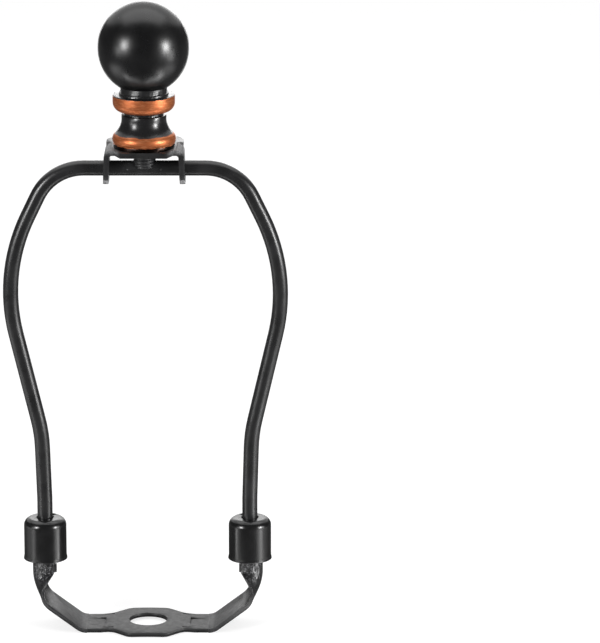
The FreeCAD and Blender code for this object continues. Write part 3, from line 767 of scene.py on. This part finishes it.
def for_the_eye(tree, lift):
    """An amount that the camera, mirrors and glass see, and that lights nothing else."""
    path = node(tree, "ShaderNodeLightPath")
    seen = larger(tree, path.outputs["Is Camera Ray"], path.outputs["Is Glossy Ray"])
    seen = larger(tree, seen, path.outputs["Is Transmission Ray"])
    return times(tree, seen, lift)


floor_mesh = bmesh.new()
bmesh.ops.create_circle(floor_mesh, cap_ends=True, segments=64, radius=FLOOR_RADIUS)
floor = finished("floor", floor_mesh, smooth=False)
floor_paint, floor_tree, floor_shader = new_material("pale_floor")
floor_shader.inputs["Base Color"].default_value = FLOOR_GREY
floor_shader.inputs["Roughness"].default_value = 1.0
floor_shader.inputs["Specular IOR Level"].default_value = 0.0
floor_shader.inputs["Emission Color"].default_value = WHITE
floor_tree.links.new(for_the_eye(floor_tree, FLOOR_LIFT), floor_shader.inputs["Emission Strength"])
floor.data.materials.append(floor_paint)

# %% [markdown]
# ## Cards for reflections
# Gloss black shows nothing but what it mirrors, so a studio puts dark and pale cards round
# it, just out of the picture. Real cards would also block and bounce light. Here only
# reflections meet them, so they can lie anywhere, even in the picture.

# %% Cards for reflections
BLACK = (0, 0, 0, 1)


def only_in_reflections(card, glow):
    """A card of a stated brightness that nothing but a reflection meets."""
    material, tree, shader = new_material(card.name)
    shader.inputs["Base Color"].default_value = BLACK
    shader.inputs["Specular IOR Level"].default_value = 0.0
    shader.inputs["Emission Color"].default_value = WHITE
    shader.inputs["Emission Strength"].default_value = glow
    card.data.materials.append(material)
    card.visible_camera = False
    card.visible_diffuse = False
    card.visible_shadow = False
    card.visible_transmission = False


# %% [markdown]
# ## Dark walls and a dark mat
# The enamel only looks black with something dark to mirror. The walls are a dome with a
# round opening behind and above, through which what faces up mirrors the white room. A
# plane cuts the opening out of a sphere, and another one levels its foot. The mat lies on
# the floor.

# %% Walls and mat
WALL_RADIUS = 2.2
WALL_FOOT = 1 * MM
WALL_GLOW = 0.07
OPENING_ELEVATION = math.radians(55)
OPENING_HALF_ANGLE = math.radians(48)
MAT_HEIGHT = 0.05 * MM
MAT_GLOW = 0.14

opening_way = Vector((0, math.cos(OPENING_ELEVATION), math.sin(OPENING_ELEVATION)))
opening_rim = opening_way * WALL_RADIUS * math.cos(OPENING_HALF_ANGLE)
wall_mesh = bmesh.new()
bmesh.ops.create_uvsphere(wall_mesh, u_segments=96, v_segments=48, radius=WALL_RADIUS)
for point, cut_off in (
    (opening_rim, opening_way), (Vector((0, 0, WALL_FOOT)), Vector((0, 0, -1))),
):
    everything = wall_mesh.verts[:] + wall_mesh.edges[:] + wall_mesh.faces[:]
    bmesh.ops.bisect_plane(wall_mesh, geom=everything, plane_co=point, plane_no=cut_off,
                           clear_outer=True)
only_in_reflections(finished("dark_walls", wall_mesh), WALL_GLOW)

mat_mesh = bmesh.new()
bmesh.ops.create_circle(mat_mesh, cap_ends=True, segments=64, radius=WALL_RADIUS)
bmesh.ops.translate(mat_mesh, verts=mat_mesh.verts, vec=(0, 0, MAT_HEIGHT))
only_in_reflections(finished("dark_mat", mat_mesh), MAT_GLOW)

# %% [markdown]
# ## Low cards
# Upright wire and sleeves mirror what lies low beside them. Pale round cards at the left
# and the right give them their side lights, and a dim one lies under the harp. Each is a
# stack of discs that get brighter inwards, so that its reflection fades out softly. The
# stack is lower than the saddle's sheet is thick, so that no disc lies above the saddle.

# %% Low cards
CARD_DISCS = (1.0, 0.75, 0.5, 0.25)
CARD_STEP = 0.05 * MM


def low_card(name, centre, radius, glow):
    """A round pale card on the floor, brighter towards its middle."""
    for step, share in enumerate(CARD_DISCS, start=1):
        card = bmesh.new()
        bmesh.ops.create_circle(card, cap_ends=True, segments=32, radius=radius * share)
        place = (*centre, MAT_HEIGHT + step * CARD_STEP)
        bmesh.ops.translate(card, verts=card.verts, vec=place)
        disc = finished(f"{name}_{step}", card, smooth=False)
        only_in_reflections(disc, glow * step / len(CARD_DISCS))


low_card("left_low_card", centre=(-0.23, -0.02), radius=0.12, glow=2.2)
low_card("right_low_card", centre=(0.23, -0.04), radius=0.12, glow=2.2)
low_card("right_near_card", centre=(0.135, -0.08), radius=0.055, glow=4.5)
low_card("near_card", centre=(0, -0.04), radius=0.13, glow=0.22)

# %% [markdown]
# ## Streaks on the sleeves
# Each sleeve has a narrow bright streak on either side. A straight cylinder draws such a
# streak from anything that lies in one direction from it, so a wedge on the floor that
# points at the sleeve's foot makes it. The wedges between the two sleeves are dimmer,
# because the ball mirrors them from above.

# %% Streaks
WEDGE_REACH = (44, 110)
WEDGE_HALF_ANGLES = (13, 9, 5)
WEDGE_HEIGHT = 0.3 * MM
WEDGE_STEP = 0.02 * MM
STREAK_AZIMUTH = 62
LEFT_STREAK_GLOW = 6.0
RIGHT_STREAK_GLOW = 10.0
INNER_SHARE = 0.45


def streak_card(name, foot, azimuth, glow):
    """A wedge on the floor that points at a sleeve's foot, brighter towards its middle."""
    near, far = WEDGE_REACH
    for step, half in enumerate(WEDGE_HALF_ANGLES, start=1):
        card = bmesh.new()
        height = WEDGE_HEIGHT + step * WEDGE_STEP
        corners = []
        for reach, turn in ((near, -half), (far, -half), (far, half), (near, half)):
            a = math.radians(azimuth + turn)
            place = (foot + reach * MM * math.sin(a), -reach * MM * math.cos(a), height)
            corners.append(card.verts.new(place))
        card.faces.new(corners)
        wedge = finished(f"{name}_{step}", card, smooth=False)
        only_in_reflections(wedge, glow * step / len(WEDGE_HALF_ANGLES))


for name, node_name in (("left", "left_sleeve"), ("right", "right_sleeve")):
    sleeve_low, sleeve_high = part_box(node_name)
    foot = (sleeve_low[0] + sleeve_high[0]) / 2
    left_glow = LEFT_STREAK_GLOW * (INNER_SHARE if foot > 0 else 1)
    right_glow = RIGHT_STREAK_GLOW * (INNER_SHARE if foot < 0 else 1)
    streak_card(name + "_sleeve_left_streak", foot, -STREAK_AZIMUTH, left_glow)
    streak_card(name + "_sleeve_right_streak", foot, STREAK_AZIMUTH, right_glow)

# %% [markdown]
# ## Cards behind the harp
# The plate, the ring's top and the wire's upper edge are seen at a flat angle and mirror
# what stands behind the harp. Two upright cards there give them their pale sheen, and the
# upper one is brighter.

# %% Rear cards
REAR_DISTANCE = 0.3
upright = Matrix.Rotation(math.radians(90), 3, "X")

for name, width, low, high, glow in (
    ("rear_card_above", 0.22, 0.132, 0.26, 3.6), ("rear_card_below", 0.24, 0.02, 0.13, 1.3),
):
    rear_mesh = bmesh.new()
    bmesh.ops.create_grid(rear_mesh, x_segments=1, y_segments=1, size=0.5)
    bmesh.ops.scale(rear_mesh, verts=rear_mesh.verts, vec=(width, high - low, 1))
    bmesh.ops.rotate(rear_mesh, verts=rear_mesh.verts, matrix=upright)
    place = (0, REAR_DISTANCE, (low + high) / 2)
    bmesh.ops.translate(rear_mesh, verts=rear_mesh.verts, vec=place)
    only_in_reflections(finished(name, rear_mesh, smooth=False), glow)

# %% [markdown]
# ## The room
# The world is a white room, but only the camera and reflections see it at full strength. A
# quarter of it lights the harp, as the walls of a real room would, and the lamps do the
# rest.

# %% Room
ROOM_LIGHT = 0.25

world = bpy.data.worlds.new("white_room")
world.use_nodes = True
bpy.context.scene.world = world
room = world.node_tree
background = room.nodes["Background"]
background.inputs["Color"].default_value = WHITE
strength = larger(room, for_the_eye(room, 1.0), ROOM_LIGHT)
room.links.new(strength, background.inputs["Strength"])
print("room light", ROOM_LIGHT)

# %% [markdown]
# ## Windows of light
# Two upright windows give the ball its paired highlights, with a dimmer pane beside the
# left one. A ball mirrors the whole room, so each lamp is placed by the direction in which
# the ball shows it. One even rectangle would give a hard-edged highlight, so each window is
# three lamps, one inside the other, whose light adds up in the middle.

# %% Windows
LAMP_DISTANCE = 1.1
WINDOW_LAYERS = (1.0, 0.7, 0.4)
LAYER_SUM = 1 + 2 + 3
LAYER_GAP = 0.01
ball_low, ball_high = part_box("finial_ball")
BALL_CENTRE = (0, 0, (ball_low[2] + ball_high[2]) / 2)


def softbox(name, place, target, size, radiance):
    """A rectangular lamp of a stated brightness, turned to a target."""
    data = bpy.data.lights.new(name, "AREA")
    data.shape = "RECTANGLE"
    data.size, data.size_y = size
    data.energy = radiance * math.pi * size[0] * size[1]
    lamp = bpy.data.objects.new(name, data)
    aim = (Vector(target) - Vector(place)).to_track_quat("-Z", "Y")
    lamp.matrix_world = Matrix.Translation(place) @ aim.to_matrix().to_4x4()
    bpy.context.scene.collection.objects.link(lamp)
    print(name, "energy", round(data.energy, 1), "W")


def seen_in_the_ball(azimuth, elevation):
    """A lamp's place, its azimuth measured from the camera's side to the right."""
    a, e = math.radians(azimuth), math.radians(elevation)
    offset = Vector((math.sin(a) * math.cos(e), -math.cos(a) * math.cos(e), math.sin(e)))
    return Vector(BALL_CENTRE) + offset * LAMP_DISTANCE


def window(name, azimuth, elevation, size, radiance):
    """A window of light, brighter towards its middle."""
    place = seen_in_the_ball(azimuth, elevation)
    for step, share in enumerate(WINDOW_LAYERS, start=1):
        nearer = place.lerp(Vector(BALL_CENTRE), LAYER_GAP * step)
        layer_size = (size[0] * share, size[1] * share)
        layer_radiance = radiance * step / LAYER_SUM
        softbox(f"{name}_{step}", nearer, BALL_CENTRE, layer_size, layer_radiance)


window("left_window", azimuth=-48, elevation=10, size=(0.34, 0.50), radiance=38)
window("right_window", azimuth=61, elevation=4, size=(0.36, 0.50), radiance=47)
window("left_pane", azimuth=-64, elevation=-6, size=(0.30, 0.38), radiance=8)

# %% [markdown]
# ## The right pane
# The pane beside the right window shows so low in the ball that a lamp at full distance
# would lie under the floor. It is a small round card instead, much nearer to the ball.

# %% Right pane
PANE_NEARNESS = 0.36
PANE_RADIUS = 0.06
PANE_GLOW = 5.0

full_distance = seen_in_the_ball(azimuth=75, elevation=-14)
pane_place = Vector(BALL_CENTRE).lerp(full_distance, PANE_NEARNESS)
pane_turn = (Vector(BALL_CENTRE) - pane_place).to_track_quat("Z", "Y").to_matrix()
pane_mesh = bmesh.new()
bmesh.ops.create_circle(pane_mesh, cap_ends=True, segments=32, radius=PANE_RADIUS)
bmesh.ops.rotate(pane_mesh, verts=pane_mesh.verts, matrix=pane_turn)
bmesh.ops.translate(pane_mesh, verts=pane_mesh.verts, vec=pane_place)
only_in_reflections(finished("right_pane", pane_mesh, smooth=False), PANE_GLOW)

# %% [markdown]
# ## Ceiling lamp
# A wide lamp overhead gives everything that faces up its grey sheen, such as the ball's
# cap. It starts a little in front of the harp and reaches far behind it, which ends the
# sheen on the ball in a straight dark line.

# %% Ceiling
CEILING_HEIGHT = 1.6
CEILING_FRONT = -0.37
CEILING_SIZE = (2.4, 1.3)
CEILING_RADIANCE = 1.3
ceiling_place = (0, CEILING_FRONT + CEILING_SIZE[1] / 2, CEILING_HEIGHT)
below = (*ceiling_place[:2], 0)
softbox("ceiling", ceiling_place, below, CEILING_SIZE, CEILING_RADIANCE)

# %% [markdown]
# ## Picture settings
# The Standard view shows colours as they are written.

# %% Picture settings
bpy.context.scene.view_settings.view_transform = "Standard"
print("view", bpy.context.scene.view_settings.view_transform)
